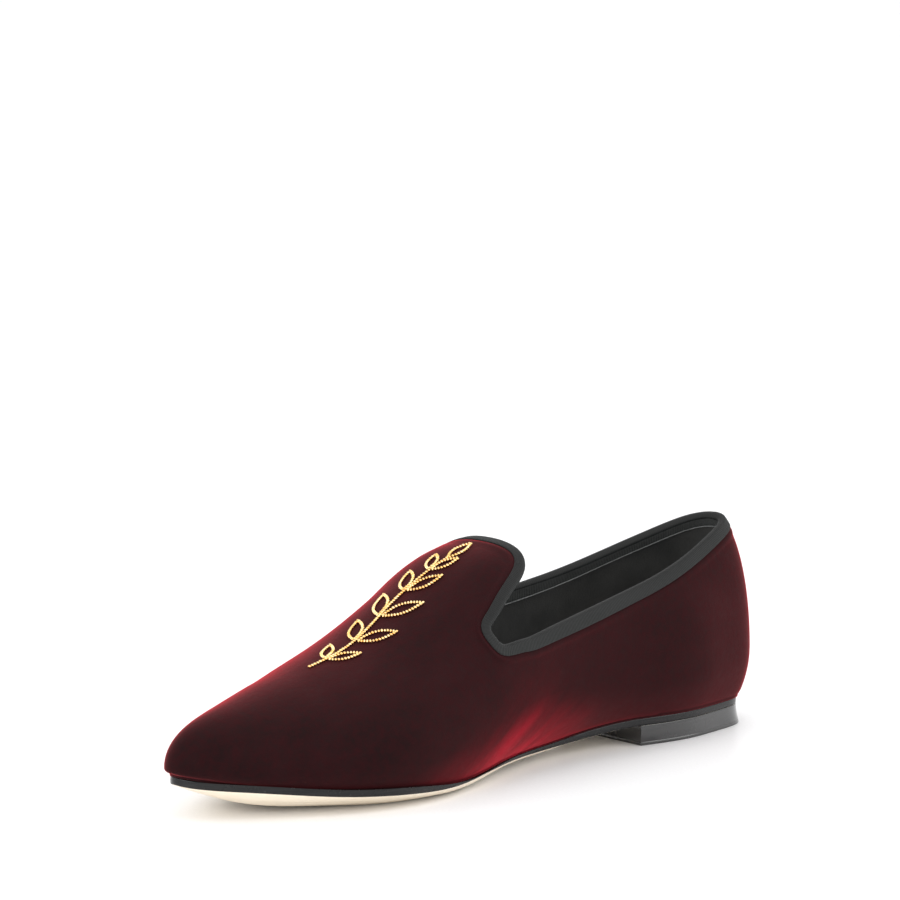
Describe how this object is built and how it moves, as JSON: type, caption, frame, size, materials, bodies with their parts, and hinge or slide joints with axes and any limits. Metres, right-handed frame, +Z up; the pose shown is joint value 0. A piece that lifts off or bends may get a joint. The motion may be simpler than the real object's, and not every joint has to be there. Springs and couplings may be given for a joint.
{
  "type": "velvet slipper loafer",
  "caption": "Right-foot velvet slipper loafer with bound topline, short tongue, thin leather sole and low block heel.",
  "frame": {"origin": "on the floor, in the middle of the heel block, on the line through the back of the shoe", "axes": "+Z up from the floor; the toe points along -Y; +X is the medial side, where the big toe is"},
  "size_m": [0.0817, 0.258, 0.079],
  "materials": {
    "velvet": "velvet pile",
    "ribbed_tape": "ribbed satin",
    "insole_leather": "matt",
    "sole_leather": "smooth",
    "heel_block": "smooth"
  },
  "bodies": {
    "root": {"upper": "velvet", "topline_binding": "ribbed_tape", "insole": "insole_leather", "outsole": "sole_leather", "heel": "heel_block"}
  },
  "joints": []
}
